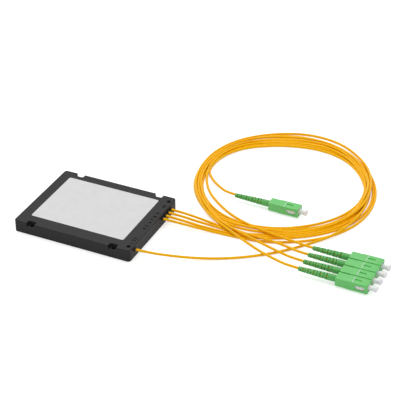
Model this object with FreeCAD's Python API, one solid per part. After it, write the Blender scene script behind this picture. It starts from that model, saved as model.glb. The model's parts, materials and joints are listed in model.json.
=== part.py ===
import FreeCAD, Part
import math
import os

# Fibre-optic splitter module: a flat plastic case that holds a planar splitter chip, one input
# cable and four output cables, each ending in a push-pull angled connector with a dust cap.
# Millimetres. X runs along the case's long side and out through the cable ports, Y across it,
# Z up from the surface it lies on. The origin is the middle of the case's underside.
# A connector is drawn along its own axis, with its grip's front face at X = 0 and its cable
# leaving towards -X, and is then moved to its place.

V = FreeCAD.Vector
ALONG = V(1, 0, 0)
UP = V(0, 0, 1)

# Case
case_length = 100.0
case_width = 80.0
case_height = 10.0
case_corner = 2.5
case_edge = 0.4
cover_thickness = 1.5
wall = 1.6
floor_thickness = 1.6

# Lip bars under the cover that locate it between the tray's walls
lip_thickness = 1.2
lip_depth = 0.7
lip_gap = 0.15
end_lip_length = 50.0

# Label in a shallow recess of the cover
label_length = 80.0
label_width = 60.5
label_thickness = 0.15
label_corner = 1.5
label_gap = 0.15
label_recess = 0.25
label_x = -1.2
label_y = 1.5

# Screw pockets in the long sides, open at the top and outwards
pocket_spacing = 70.6
pocket_width = 7.0
pocket_inset = 4.2
pocket_height = 3.0
pocket_corner = 1.2
pocket_wall = 1.2
screw_hole_radius = 1.6
screw_inset = 2.4

# Cable ports: slots in the +X wall that the cover closes
port_radius = 1.45
port_height = 6.6
output_count = 4
output_port_inset = 11.15
output_port_pitch = 4.85
input_port_inset = 8.2

# Cables and the bare fibres inside the case
cable_radius = 1.0
fibre_radius = 0.3
cord_sides = 8
fibre_sides = 6
fibre_pitch = 0.65
glue_length = 5.5
glue_margin = 1.6
glue_play = 0.05
jacket_inside = 9.0
fibre_lead = 2.0

# Splitter module: steel tube with the chip between its two fibre arrays
module_y = 8.0
module_gap = 0.8
module_length = 40.0
module_side = 4.0
module_wall = 0.4
array_length = 8.0
chip_length = 14.0
chip_width = 2.8
chip_height = 2.4
input_loop_margin = 1.2

# Ribs moulded in the tray
guide_wall = 1.0
guide_height = 5.0
guide_gap = 1.0
clip_length = 3.0
clip_wall = 1.0
clip_height = 3.0
clip_gap = 0.15
clip_offset = 9.0

# Connector grip: the sleeve that slides on the plug frame
grip_length = 25.0
grip_width = 9.0
grip_height = 7.4
grip_edge = 0.6
grip_rear_edge = 0.5
grip_nose = 0.5
grip_rear_length = 8.5
grip_rear_step_y = 0.35
grip_rear_step_z = 0.2
grip_travel = 1.5
key_length = 12.8
key_start = 1.2
key_width = 2.2
key_height = 0.9
top_slot_length = 5.5
top_slot_width = 1.9
top_slot_depth = 0.5
top_slot_start = 5.7
window_taper = 1.6

# Plug frame inside the grip
frame_width = 7.0
frame_height = 5.4
frame_length = 15.9
frame_nose = -0.5
frame_edge = 0.4
frame_gap = 0.15
socket_radius = 2.2
socket_depth = 6.0
web_thickness = 1.0
web_hole_radius = 1.5
key_bore_radius = 2.25
key_sides = 6
ear_start = 4.1
ear_block_length = 2.2
ear_break = 0.4
ear_ramp_length = 3.2
ear_height = 2.5
ear_reach = 0.75
window_side_gap = 0.4
window_end_gap = 0.3

# Ferrule, its flange and its spring
ferrule_radius = 1.2495
ferrule_reach = 3.6
ferrule_angle = 8.0
ferrule_chamfer = 0.4
flange_play = 0.06
flange_length = 2.5
flange_gap = 0.05
ferrule_tail_radius = 1.3
ferrule_tail_length = 2.6
spring_wire = 0.45
spring_inner_radius = 1.45
spring_turns = 3
spring_steps = 8
spring_length = 3.3

# Rear body, crimp sleeve and boot
insert_play = 0.05
insert_length = 2.8
collar_width = 6.6
collar_height = 5.0
collar_length = 1.8
spigot_radius = 1.6
spigot_length = 8.3
fibre_bore_radius = 0.55
sleeve_start = 0.3
sleeve_play = 0.05
sleeve_corner_radius = 2.1
sleeve_length = 7.5
boot_start = 0.8
boot_radius = 2.65
boot_end_radius = 1.75
boot_collar_end = 31.0
boot_collar_wall = 0.5
boot_end = 54.9
boot_cable_gap = 0.12
boot_web = 1.1
boot_slot_narrow = 0.65
boot_slot_widening = 0.015
side_slots = (3.8, 7.9, 12.3, 17.5, 22.7)
top_slots = (2.1, 5.6, 9.9, 15.0, 20.2)
boot_turns = {
    "input": 45, "output_1": -45, "output_2": 45, "output_3": 45, "output_4": -45,
}

# Dust cap
cap_radius = 1.95
cap_inside = 3.0
cap_play = 0.02
cap_tip_gap = 0.3
cap_end_wall = 0.1
knob_radius = 2.5
knob_length = 2.3
knob_edge = 0.5

# Where the connectors lie: the X of each grip's front face, and its Y
connector_row_x = 224.4
connector_row_y = 0.2
connector_pitch = 9.7
input_connector_x = 141.7
input_connector_y = 71.6

# Coil of loose turns: its outer and inner outline, and its height
coil_height = 6.0
coil_outer = [
    (92, 30), (122, 21), (150, 33), (176, 56), (190, 86), (190, 116), (176, 148), (146, 179),
    (108, 191), (72, 174), (46, 141), (41, 98), (56, 61),
]
coil_inner = [
    (104, 45), (72, 63), (53, 96), (59, 137), (92, 164), (135, 167), (166, 144), (178, 110),
    (168, 78), (140, 52),
]

# Routes of the cables between the case, the coil and the connectors. The first or last point
# at a port or a connector comes from that piece's own size.
cable_rest = 1.05
output_in_routes = [
    [(84, 20.2, 1.3), (109, 21.9, 1.05)],
    [(81, 24.7, 1.5), (100, 26.0, 1.05)],
    [(77, 28.2, 2.0), (94, 29.4, 1.05)],
    [(73, 32.3, 2.6), (89, 31.7, 1.2)],
]
input_in_route = [
    (85, -20.0, 2.2), (108, -9.4, 1.05), (129, 3.3, 1.05), (150, 21.6, 1.05), (170.5, 48.0, 1.05),
]
output_out_routes = [
    [(109, 21.5, 4.3), (131, 11.0, 3.5), (150, 4.0, 3.9)],
    [(123, 22.0, 4.2), (146, 15.4, 3.6)],
    [(134, 25.9, 4.2), (152, 23.6, 3.8)],
    [(148, 31.8, 4.5), (156.5, 31.5, 4.4)],
]
input_out_route = [(51.5, 102.5, 2.5), (59.0, 89.5, 2.6), (71.5, 77.6, 3.6)]
straight_before_boot = 6.0


def box(x, y, z):
    """Box from three (low, high) pairs."""
    size = [high - low for low, high in (x, y, z)]
    return Part.makeBox(*size, V(x[0], y[0], z[0]))


def cylinder(radius, low, high):
    """Cylinder along X between two stations."""
    return Part.makeCylinder(radius, high - low, V(low, 0, 0), ALONG)


def bar(radius, sides, low, high):
    """Polygonal bar along X between two stations, its corners at radius."""
    face = Part.Face(polygon(radius, sides, V(low, 0, 0), ALONG))
    return face.extrude(ALONG * (high - low))


def turned(outline):
    """Solid of revolution about X from (station, radius) corners, closed along the axis."""
    corners = [V(s, 0, r) for s, r in outline]
    face = Part.Face(Part.makePolygon(corners + corners[:1]))
    return face.revolve(V(0, 0, 0), ALONG, 360)


def edges_along(shape, direction):
    """The straight edges of shape that run along direction."""
    found = []
    for edge in shape.Edges:
        run = edge.lastVertex().Point - edge.firstVertex().Point
        if run.Length > 1e-6 and run.cross(direction).Length < 1e-6 * run.Length:
            found.append(edge)
    return found


def rounded_along(shape, direction, radius):
    """Shape with its edges along direction rounded."""
    return shape.makeFillet(radius, edges_along(shape, direction))


def rounded_plate(length, width, low, high, radius, centre=(0, 0)):
    """Upright plate with rounded corners."""
    x, y = centre
    plate = box((x - length / 2, x + length / 2), (y - width / 2, y + width / 2), (low, high))
    return rounded_along(plate, UP, radius)


def prism(corners, vector):
    """Solid swept from a flat polygon."""
    return Part.Face(Part.makePolygon(corners + corners[:1])).extrude(vector)


def polygon(radius, sides, centre, direction):
    """Closed regular outline across direction, corners at radius and a flat at each side."""
    turn = FreeCAD.Rotation(direction, 360 / sides)
    level = direction.cross(UP).normalize() * radius
    corners = [FreeCAD.Rotation(direction, 180 / sides).multVec(level)]
    for _ in range(sides):
        corners.append(turn.multVec(corners[-1]))
    return Part.makePolygon([centre + corner for corner in corners])


def tube(points, radius, report):
    """Cord along straight runs that meet in tangent arcs, with few flats round it."""
    edges = []
    radii = []
    start = points[0]
    for before, corner, after in zip(points, points[1:], points[2:]):
        arriving = (corner - before).normalize()
        leaving = (after - corner).normalize()
        half_turn = arriving.getAngle(leaving) / 2
        trim = 0.45 * min((corner - before).Length, (after - corner).Length)
        bend = trim / math.tan(half_turn)
        inward = (leaving - arriving).normalize()
        centre = corner + inward * (bend / math.cos(half_turn))
        arc_start = corner - arriving * trim
        arc_end = corner + leaving * trim
        edges.append(Part.LineSegment(start, arc_start).toShape())
        edges.append(Part.Arc(arc_start, centre - inward * bend, arc_end).toShape())
        radii.append(round(bend))
        start = arc_end
    edges.append(Part.LineSegment(start, points[-1]).toShape())
    route = Part.Wire(edges)
    section = Part.Face(polygon(radius, cord_sides, points[0], points[1] - points[0]))
    solid = route.makePipe(section)
    expected = section.Area * route.Length
    print(f"{report}: {route.Length:.1f} long, bends {radii}, volume {solid.Volume / expected:.4f}")
    return solid


# ---------------------------------------------------------------- case

tray_height = case_height - cover_thickness
cavity_length = case_length - 2 * wall
cavity_width = case_width - 2 * wall
pocket_floor = case_height - pocket_height
last_port_y = case_width / 2 - output_port_inset
output_ports = [last_port_y - output_port_pitch * i for i in reversed(range(output_count))]
input_port_y = input_port_inset - case_width / 2
input_loop_radius = (module_y - input_port_y) / 2
input_loop_x = input_loop_radius + input_loop_margin - cavity_length / 2
module_x = input_loop_x + module_gap


def pocket_places():
    """Sign of X and of Y for each of the four screw pockets."""
    return [(sx, sy) for sx in (-1, 1) for sy in (-1, 1)]


def pocket_block(sx, sy, margin, low, high):
    """Block around one screw pocket, wider by margin on its inner sides."""
    x = sx * pocket_spacing / 2
    reach = pocket_width / 2 + margin
    inner = case_width / 2 - pocket_inset - margin
    y = sorted((sy * inner, sy * (case_width / 2 + pocket_inset)))
    block = box((x - reach, x + reach), y, (low, high))
    return rounded_along(block, UP, pocket_corner)


def screw_pockets():
    """Everything that the four pockets and their screw holes take out of the case."""
    cuts = []
    for sx, sy in pocket_places():
        cuts.append(pocket_block(sx, sy, 0, pocket_floor, case_height + pocket_height))
        at = V(sx * pocket_spacing / 2, sy * (case_width / 2 - screw_inset), -floor_thickness)
        cuts.append(Part.makeCylinder(screw_hole_radius, case_height, at, UP))
    return cuts


def port_slot(y):
    """Slot through the +X wall for one cable, round at the bottom and open at the top."""
    low = case_length / 2 - 2 * wall
    high = case_length / 2 + wall
    slot = cylinder(port_radius, low, high).translated(V(0, y, port_height))
    mouth = box((low, high), (y - port_radius, y + port_radius), (port_height, case_height))
    return slot.fuse(mouth)


def fibre_guide():
    """Half-ring wall that keeps the input fibre's loop wide."""
    outer = input_loop_radius - fibre_radius - guide_gap
    low = floor_thickness
    ring = Part.makeCylinder(outer, guide_height, V(0, 0, low))
    ring = ring.cut(Part.makeCylinder(outer - guide_wall, guide_height, V(0, 0, low)))
    ring = ring.common(box((-outer, 0), (-outer, outer), (low, low + guide_height)))
    return ring.translated(V(input_loop_x, (module_y + input_port_y) / 2, 0))


def module_clips():
    """Two pairs of ribs that hold the splitter module by its sides."""
    clips = []
    inner = module_side / 2 + clip_gap
    for x in (module_x + clip_offset, module_x + module_length - clip_offset):
        for side in (-1, 1):
            y = sorted((module_y + side * inner, module_y + side * (inner + clip_wall)))
            z = (floor_thickness, floor_thickness + clip_height)
            clips.append(box((x - clip_length / 2, x + clip_length / 2), y, z))
    return clips


def base_tray():
    body = rounded_plate(case_length, case_width, 0, tray_height, case_corner)
    cavity = rounded_plate(
        cavity_length, cavity_width, floor_thickness, case_height, case_corner - wall
    )
    posts = [
        pocket_block(sx, sy, pocket_wall, 0, tray_height).common(body)
        for sx, sy in pocket_places()
    ]
    tray = body.cut(cavity).multiFuse(posts + [fibre_guide()] + module_clips())
    slots = [port_slot(y) for y in output_ports + [input_port_y]]
    return tray.cut(screw_pockets() + slots).removeSplitter()


def lip_bars():
    """Bars under the cover, along the two long walls and the wall opposite the ports."""
    low = tray_height - lip_depth
    outer_y = cavity_width / 2 - lip_gap
    half = pocket_spacing / 2 - pocket_width / 2 - pocket_wall - 2 * lip_gap
    bars = []
    for side in (-1, 1):
        y = sorted((side * outer_y, side * (outer_y - lip_thickness)))
        bars.append(box((-half, half), y, (low, tray_height)))
    outer_x = -cavity_length / 2 + lip_gap
    end = end_lip_length / 2
    bars.append(box((outer_x, outer_x + lip_thickness), (-end, end), (low, tray_height)))
    return bars


def top_cover():
    plate = rounded_plate(case_length, case_width, tray_height, case_height, case_corner)
    rim = [edge for edge in plate.Edges if edge.BoundBox.ZMin > case_height - 1e-6]
    plate = plate.makeChamfer(case_edge, rim)
    recess = rounded_plate(
        label_length + 2 * label_gap, label_width + 2 * label_gap,
        case_height - label_recess, case_height + label_recess,
        label_corner, (label_x, label_y),
    )
    return plate.cut([recess] + screw_pockets()).multiFuse(lip_bars()).removeSplitter()


def label():
    low = case_height - label_recess
    return rounded_plate(
        label_length, label_width, low, low + label_thickness, label_corner, (label_x, label_y)
    )


# ---------------------------------------------------------------- inside the case

chip_assembly_length = 2 * array_length + chip_length
chip_start = module_x + (module_length - chip_assembly_length) / 2
chip_floor = floor_thickness + module_wall
fibre_height = chip_floor + chip_height / 2
jacket_end_x = case_length / 2 - jacket_inside


def module_tube():
    half = module_side / 2
    bore = half - module_wall
    x = (module_x, module_x + module_length)
    outer = box(x, (-half, half), (floor_thickness, floor_thickness + module_side))
    inner = box(
        (x[0] - wall, x[1] + wall), (-bore, bore),
        (chip_floor, floor_thickness + module_side - module_wall),
    )
    return outer.cut(inner).translated(V(0, module_y, 0))


def chip_block(offset, length):
    """One block of the chip's row, seated on the module tube's floor."""
    x = chip_start + offset
    y = (module_y - chip_width / 2, module_y + chip_width / 2)
    return box((x, x + length), y, (chip_floor, chip_floor + chip_height))


def s_bend(start, end):
    """Two equal arcs from start to end that leave and arrive along +X."""
    across = end - start
    run = across.x
    across.x = 0
    height = across.Length
    across.normalize()
    bend = (run ** 2 + height ** 2) / (4 * height)
    turn = 2 * math.atan2(height, run)

    def first_half(angle):
        return start + ALONG * (bend * math.sin(angle)) + across * (bend * (1 - math.cos(angle)))

    def second_half(angle):
        return end - (first_half(angle) - start)

    middle = first_half(turn)
    return [
        Part.Arc(start, first_half(turn / 2), middle).toShape(),
        Part.Arc(middle, second_half(turn / 2), end).toShape(),
    ]


def fibre_along(edges):
    route = Part.Wire(edges)
    first = edges[0]
    section = polygon(fibre_radius, fibre_sides, first.valueAt(0), first.tangentAt(0))
    return route.makePipe(Part.Face(section))


def output_fibre(index):
    """Bare fibre from the output array to the end of one output cable's jacket."""
    y = module_y + (index - (output_count - 1) / 2) * fibre_pitch
    start = V(chip_start + chip_assembly_length, y, fibre_height)
    mouth = V(module_x + module_length + fibre_lead, y, fibre_height)
    end = V(jacket_end_x, output_ports[index], port_height)
    return fibre_along([Part.LineSegment(start, mouth).toShape()] + s_bend(mouth, end))


def input_fibre():
    """Bare fibre from the input array round its guide to the input cable's jacket."""
    start = V(chip_start, module_y, fibre_height)
    turn = V(input_loop_x, module_y, fibre_height)
    back = V(input_loop_x, input_port_y, port_height)
    end = V(jacket_end_x, input_port_y, port_height)
    far = (turn + back) * 0.5 - ALONG * ((turn - back).Length / 2)
    return fibre_along([
        Part.LineSegment(start, turn).toShape(),
        Part.Arc(turn, far, back).toShape(),
        Part.LineSegment(back, end).toShape(),
    ])


def cable_glue():
    """Two blocks of potting behind the ports, cast round the cable jackets."""
    high_x = case_length / 2 - wall
    low_x = high_x - glue_length
    top = tray_height - lip_depth + lip_gap
    blocks = []
    for ports in (output_ports, [input_port_y]):
        margin = cable_radius + glue_margin
        y = (min(ports) - margin, max(ports) + margin)
        block = box((low_x, high_x), y, (floor_thickness, top))
        holes = [
            bar(cable_radius + glue_play, cord_sides, low_x - wall, high_x + wall)
            .translated(V(0, port, port_height))
            for port in ports
        ]
        blocks.append(block.cut(holes))
    return Part.makeCompound(blocks)


# ---------------------------------------------------------------- connector

axis_height = key_height + grip_height / 2
flange_front = frame_nose - socket_depth - web_thickness - flange_gap
flange_back = flange_front - flange_length
frame_back = frame_nose - frame_length
insert_front = frame_back + insert_length
collar_back = frame_back - collar_length
spigot_back = collar_back - spigot_length
window_front = -(ear_start - grip_travel - window_end_gap)
ear_back = -(ear_start + ear_block_length + ear_break + ear_ramp_length)
window_back = ear_back - window_end_gap
cap_front = ferrule_reach + cap_tip_gap + cap_end_wall


def grip():
    half_y = grip_width / 2
    half_z = grip_height / 2
    front = box((-grip_length + grip_rear_length, 0), (-half_y, half_y), (-half_z, half_z))
    front = rounded_along(front, ALONG, grip_edge)
    nose = [edge for edge in front.Edges if edge.BoundBox.XMin > -1e-6]
    front = front.makeChamfer(grip_nose, nose)
    rear_y = half_y - grip_rear_step_y
    rear_z = half_z - grip_rear_step_z
    rear = box((-grip_length, grip_rear_length - grip_length), (-rear_y, rear_y), (-rear_z, rear_z))
    rear = rear.makeChamfer(grip_rear_edge, edges_along(rear, ALONG))
    key = box(
        (-key_start - key_length, -key_start), (-key_width / 2, key_width / 2),
        (-half_z - key_height, -half_z + grip_edge),
    )
    shell = front.multiFuse([rear, key])
    inner_y = frame_width / 2 + frame_gap
    inner_z = frame_height / 2 + frame_gap
    cavity = box(
        (-grip_length - grip_nose, grip_nose), (-inner_y, inner_y), (-inner_z, inner_z)
    )
    half_slot = top_slot_width / 2
    slot = box(
        (-top_slot_start - top_slot_length, -top_slot_start), (-half_slot, half_slot),
        (half_z - top_slot_depth, half_z + top_slot_depth),
    )
    tall = ear_height / 2 + window_side_gap
    window = prism(
        [
            V(window_front, -half_y - wall, -tall), V(window_front, -half_y - wall, tall),
            V(window_back + window_taper, -half_y - wall, tall),
            V(window_back, -half_y - wall, tall / 2), V(window_back, -half_y - wall, -tall / 2),
            V(window_back + window_taper, -half_y - wall, -tall),
        ],
        V(0, grip_width + 2 * wall, 0),
    )
    return shell.cut([cavity, slot, window]).removeSplitter()


def plug_frame():
    half_y = frame_width / 2
    half_z = frame_height / 2
    body = box((frame_back, frame_nose), (-half_y, half_y), (-half_z, half_z))
    body = body.makeChamfer(frame_edge, edges_along(body, ALONG))
    ears = []
    block_back = -ear_start - ear_block_length
    ramp_front = block_back - ear_break
    for side in (-1, 1):
        foot = side * (half_y - frame_edge)
        crest = side * (half_y + ear_reach)
        low = -ear_height / 2
        block = [V(-ear_start, foot, low), V(-ear_start, crest, low),
                 V(block_back, crest, low), V(block_back, foot, low)]
        ramp = [V(ramp_front, foot, low), V(ramp_front, crest, low),
                V((ramp_front + ear_back) / 2, crest, low), V(ear_back, foot, low)]
        ears += [prism(block, UP * ear_height), prism(ramp, UP * ear_height)]
    web_front = frame_nose - socket_depth
    web_back = web_front - web_thickness
    bores = [
        cylinder(socket_radius, web_front, frame_nose + wall),
        cylinder(web_hole_radius, web_back - wall, web_front + wall),
        bar(key_bore_radius, key_sides, frame_back - wall, web_back),
    ]
    return body.multiFuse(ears).cut(bores).removeSplitter()


def ferrule():
    """Ceramic ferrule in its hexagonal flange, with its end face polished at an angle."""
    rod = turned([
        (ferrule_reach, 0), (ferrule_reach, ferrule_radius - ferrule_chamfer),
        (ferrule_reach - 2 * ferrule_chamfer, ferrule_radius), (flange_back, ferrule_radius),
        (flange_back, 0),
    ])
    flange = bar(key_bore_radius - flange_play, key_sides, flange_back, flange_front)
    tail = cylinder(ferrule_tail_radius, flange_back - ferrule_tail_length, flange_back)
    side = 4 * ferrule_radius
    polish = box((0, side), (-side / 2, side / 2), (-side / 2, side / 2))
    polish.rotate(V(0, 0, 0), V(0, 1, 0), ferrule_angle)
    polish = polish.translated(V(ferrule_reach, 0, 0))
    return rod.cut(polish).multiFuse([flange, tail]).removeSplitter()


def spring_section(step):
    """Square outline of the spring's wire at one step of its turns."""
    half = spring_wire / 2
    run = spring_length - 2 * insert_play - spring_wire
    station = flange_back - insert_play - half - run * step / (spring_turns * spring_steps)
    angle = math.radians(360 * step / spring_steps)
    outward = V(0, math.cos(angle), math.sin(angle))
    middle = ALONG * station + outward * (spring_inner_radius + half)
    corners = [(-half, -half), (half, -half), (half, half), (-half, half), (-half, -half)]
    return Part.makePolygon([middle + ALONG * x + outward * r for x, r in corners])


def ferrule_spring():
    """Compression spring between the flange and the rear body, in short straight steps."""
    steps = spring_turns * spring_steps
    return Part.makeLoft([spring_section(i) for i in range(steps + 1)], True, True)


def rear_body():
    half_y = collar_width / 2
    half_z = collar_height / 2
    collar = box((collar_back, frame_back), (-half_y, half_y), (-half_z, half_z))
    collar = collar.makeChamfer(frame_edge, edges_along(collar, ALONG))
    insert = bar(key_bore_radius - insert_play, key_sides, frame_back - insert_play, insert_front)
    spigot = cylinder(spigot_radius, spigot_back, collar_back + insert_play)
    bore = cylinder(fibre_bore_radius, spigot_back - wall, insert_front + wall)
    return collar.multiFuse([insert, spigot]).cut(bore).removeSplitter()


def crimp_sleeve():
    """Metal sleeve crimped to a hexagon on the rear body's spigot."""
    front = collar_back - sleeve_start
    sleeve = bar(sleeve_corner_radius, 6, front - sleeve_length, front)
    return sleeve.cut(cylinder(spigot_radius + sleeve_play, front - sleeve_length - wall, front + wall))


def boot_slots(distances, side_axis, web_axis):
    """Slots cut into the boot's taper from both sides, leaving two webs in line."""
    cuts = []
    reach = 2 * boot_radius
    for distance in distances:
        half = (boot_slot_narrow + boot_slot_widening * distance) / 2
        station = distance - boot_end
        for side in (-1, 1):
            near = side_axis * (side * boot_web / 2)
            foot = ALONG * (station - half) + near - web_axis * reach
            corners = [
                foot, foot + ALONG * (2 * half), foot + ALONG * (2 * half) + web_axis * (2 * reach),
                foot + web_axis * (2 * reach),
            ]
            cuts.append(prism(corners, side_axis * (side * reach)))
    return cuts


def boot():
    """Strain-relief boot: a plain collar, then a taper slotted from alternate sides."""
    front = collar_back - boot_start
    bore = boot_radius - boot_collar_wall
    bore_end = spigot_back - sleeve_start
    collar = cylinder(boot_radius, -boot_collar_end, front)
    taper = Part.makeLoft([
        polygon(boot_radius, cord_sides, V(-boot_collar_end, 0, 0), ALONG),
        polygon(boot_end_radius, cord_sides, V(-boot_end, 0, 0), ALONG),
    ], True, True)
    cable_way = bar(
        (cable_radius + boot_cable_gap) / math.cos(math.pi / cord_sides), cord_sides,
        -boot_end - wall, front,
    )
    sleeve = collar.fuse(taper).cut([cylinder(bore, bore_end, front + wall), cable_way])
    across = V(0, 1, 0)
    cuts = boot_slots(side_slots, across, UP) + boot_slots(top_slots, UP, across)
    return sleeve.cut(cuts).removeSplitter()


def dust_cap():
    """Translucent cap pushed over the ferrule, with a round knob to pull it by."""
    bore = ferrule_radius + cap_play
    bore_end = cap_front - cap_end_wall
    tip = cap_front + knob_length
    return turned([
        (-cap_inside, bore), (-cap_inside, cap_radius), (cap_front, cap_radius),
        (cap_front, knob_radius), (tip - knob_edge, knob_radius),
        (tip, knob_radius - knob_edge), (tip, 0),
        (bore_end, 0), (bore_end, bore),
    ])


def connector_pieces():
    return {
        "grip": grip(),
        "plug_frame": plug_frame(),
        "ferrule": ferrule(),
        "ferrule_spring": ferrule_spring(),
        "rear_body": rear_body(),
        "crimp_sleeve": crimp_sleeve(),
        "boot": boot(),
        "dust_cap": dust_cap(),
    }


def connector_places():
    """Name of each connector and the point of its grip's front face on its axis."""
    places = {"input": V(input_connector_x, input_connector_y, axis_height)}
    for i in range(output_count):
        y = connector_row_y + i * connector_pitch
        places[f"output_{i + 1}"] = V(connector_row_x, y, axis_height)
    return places


# ---------------------------------------------------------------- cables

def cable_coil():
    """Closed ring with the outer shape of all the loose turns together."""
    def outline(points):
        curve = Part.BSplineCurve()
        curve.interpolate([V(x, y, 0) for x, y in points], PeriodicFlag=True)
        return Part.Face(Part.Wire([curve.toShape()]))

    return outline(coil_outer).cut(outline(coil_inner)).extrude(UP * coil_height)


def points_of(route):
    return [V(*point) for point in route]


def cable_in(port_y, route, name):
    """Cable from inside its port to the coil."""
    inside = V(jacket_end_x, port_y, port_height)
    outside = V(case_length / 2 + jacket_inside, port_y, port_height)
    return tube([inside, outside] + points_of(route), cable_radius, name)


def cable_out(place, route, name):
    """Cable from the coil into its connector's boot, up to the rear body's spigot."""
    boot_mouth = place - ALONG * (boot_end + straight_before_boot)
    end = place + ALONG * spigot_back
    return tube(points_of(route) + [boot_mouth, end], cable_radius, name)


# ---------------------------------------------------------------- all the pieces

def all_pieces():
    fibres = [output_fibre(i) for i in range(output_count)] + [input_fibre()]
    pieces = {
        "base_tray": base_tray(),
        "top_cover": top_cover(),
        "label": label(),
        "module_tube": module_tube(),
        "input_fibre_array": chip_block(0, array_length),
        "splitter_chip": chip_block(array_length, chip_length),
        "output_fibre_array": chip_block(array_length + chip_length, array_length),
        "inner_fibres": Part.makeCompound(fibres),
        "cable_glue": cable_glue(),
        "cable_coil": cable_coil(),
    }
    drawn = connector_pieces()
    places = connector_places()
    for name, place in places.items():
        for piece, shape in drawn.items():
            if piece == "boot":
                shape = shape.rotated(V(0, 0, 0), ALONG, boot_turns[name])
            pieces[f"{name}_{piece}"] = shape.translated(place)
    pieces["input_cable_in"] = cable_in(input_port_y, input_in_route, "input cable in")
    pieces["input_cable_out"] = cable_out(places["input"], input_out_route, "input cable out")
    for i in range(output_count):
        name = f"output_{i + 1}"
        pieces[f"{name}_cable_in"] = cable_in(
            output_ports[i], output_in_routes[i], f"{name} cable in"
        )
        pieces[f"{name}_cable_out"] = cable_out(
            places[name], output_out_routes[i], f"{name} cable out"
        )
    return pieces


os.makedirs("parts", exist_ok=True)
for node, shape in all_pieces().items():
    if not shape.isValid():
        print(f"{node} is not valid")
    shape.exportStep(f"parts/{node}.step")
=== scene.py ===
# %% [markdown]
# # A fibre-optic splitter with its coiled patch cables
#
# The splitter is a flat black case with one input cable and four output cables. Every cable ends in
# a green push-pull connector, and all of them lie together in one loose coil on the table.
# The case and the connectors' inner pieces come from a CAD model, which also says where each
# connector lies. This script adds what CAD leaves plain: soft edges, moulded boots, real cables in
# real turns, and every finish.

import json
import math

import bmesh
import bpy
from mathutils import Matrix, Vector


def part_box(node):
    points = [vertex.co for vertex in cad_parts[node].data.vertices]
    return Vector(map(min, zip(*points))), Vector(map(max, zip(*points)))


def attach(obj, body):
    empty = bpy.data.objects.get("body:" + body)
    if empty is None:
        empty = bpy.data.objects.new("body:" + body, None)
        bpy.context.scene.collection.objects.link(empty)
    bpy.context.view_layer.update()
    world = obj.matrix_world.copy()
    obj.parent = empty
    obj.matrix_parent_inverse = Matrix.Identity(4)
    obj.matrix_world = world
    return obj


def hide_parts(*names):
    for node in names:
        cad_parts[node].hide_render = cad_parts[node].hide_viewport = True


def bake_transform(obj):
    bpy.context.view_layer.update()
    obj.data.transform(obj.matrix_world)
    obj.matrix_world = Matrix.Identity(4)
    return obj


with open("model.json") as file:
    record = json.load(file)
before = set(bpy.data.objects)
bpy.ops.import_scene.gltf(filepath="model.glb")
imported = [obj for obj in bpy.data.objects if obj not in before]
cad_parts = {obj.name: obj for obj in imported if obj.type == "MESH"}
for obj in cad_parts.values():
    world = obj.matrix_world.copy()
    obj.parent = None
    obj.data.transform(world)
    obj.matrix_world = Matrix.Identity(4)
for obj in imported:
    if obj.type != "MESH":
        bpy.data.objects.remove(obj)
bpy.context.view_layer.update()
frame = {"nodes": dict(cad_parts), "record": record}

# %% [markdown]
# ## Units and the connectors' places
#
# Blender works in metres, and these pieces are millimetres long, so a size is written as a number
# times `MM`. Lists of many places are plain millimetres, and `MM` is applied where they are used.
# A connector is modelled once, lying along X with the front face of its grip at X = 0, and copies
# are moved to their places. Those places are read from the CAD grips.

# %% Units, names and places
MM = 0.001
CONNECTORS = ["output_1", "output_2", "output_3", "output_4", "input"]
GRIP_HEIGHT = 7.4 * MM


def connector_place(name):
    """The middle of the grip's front face."""
    low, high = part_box(f"{name}_grip")
    return Vector((high.x, (low.y + high.y) / 2, high.z - GRIP_HEIGHT / 2))


PLACES = {name: connector_place(name) for name in CONNECTORS}
for name, place in PLACES.items():
    print(name, "grip front at", [round(value / MM, 2) for value in place], "mm")

# %% [markdown]
# ## Helpers for materials
#
# Colours are chosen as sRGB hex values, the way a paint chart gives them. Blender's shaders want
# linear light, so one function turns a hex value into linear numbers. Another adds a node, sets its
# sockets and wires it up in one call, which keeps each material short enough to read.
# A pattern is always noise on the object's own coordinates, and it moves either the base colour
# between two close shades or the surface up and down by a few hundredths of a millimetre.


# %% Colour and node helpers
# Where a Mix node keeps its colour sockets.
MIX_COLOUR_A, MIX_COLOUR_B, MIX_COLOUR_OUT = 6, 7, 2


def colour(hex_value):
    """Linear RGBA of an sRGB hex colour."""
    channels = [int(hex_value[i:i + 2], 16) / 255 for i in (0, 2, 4)]
    linear = [c / 12.92 if c <= 0.04045 else ((c + 0.055) / 1.055) ** 2.4 for c in channels]
    return (*linear, 1.0)


def add_node(tree, kind, settings=None, links=None):
    """New node with its attributes or sockets set, and its inputs linked from other outputs."""
    node = tree.nodes.new(kind)
    for key, value in (settings or {}).items():
        if isinstance(key, int) or key in node.inputs:
            node.inputs[key].default_value = value
        else:
            setattr(node, key, value)
    for key, output in (links or {}).items():
        tree.links.new(output, node.inputs[key])
    return node


def new_material(name, settings):
    """Material with one Principled shader, and that shader."""
    material = bpy.data.materials.new(name)
    material.use_nodes = True
    tree = material.node_tree
    tree.nodes.clear()
    shader = add_node(tree, "ShaderNodeBsdfPrincipled", settings)
    add_node(tree, "ShaderNodeOutputMaterial", {}, {"Surface": shader.outputs["BSDF"]})
    return material, tree, shader


def noise_at(tree, size, detail=2.0):
    """Noise on the object's own coordinates whose grains are about size metres across."""
    where = add_node(tree, "ShaderNodeTexCoord")
    return add_node(
        tree, "ShaderNodeTexNoise", {"Scale": 1 / size, "Detail": detail},
        {"Vector": where.outputs["Object"]},
    )


def add_bump(tree, shader, pattern, height, strength=1.0):
    """Raise the surface by a pattern, whose full height is in metres."""
    bump = add_node(
        tree, "ShaderNodeBump", {"Distance": height, "Strength": strength},
        {"Height": pattern},
    )
    tree.links.new(bump.outputs["Normal"], shader.inputs["Normal"])


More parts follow.
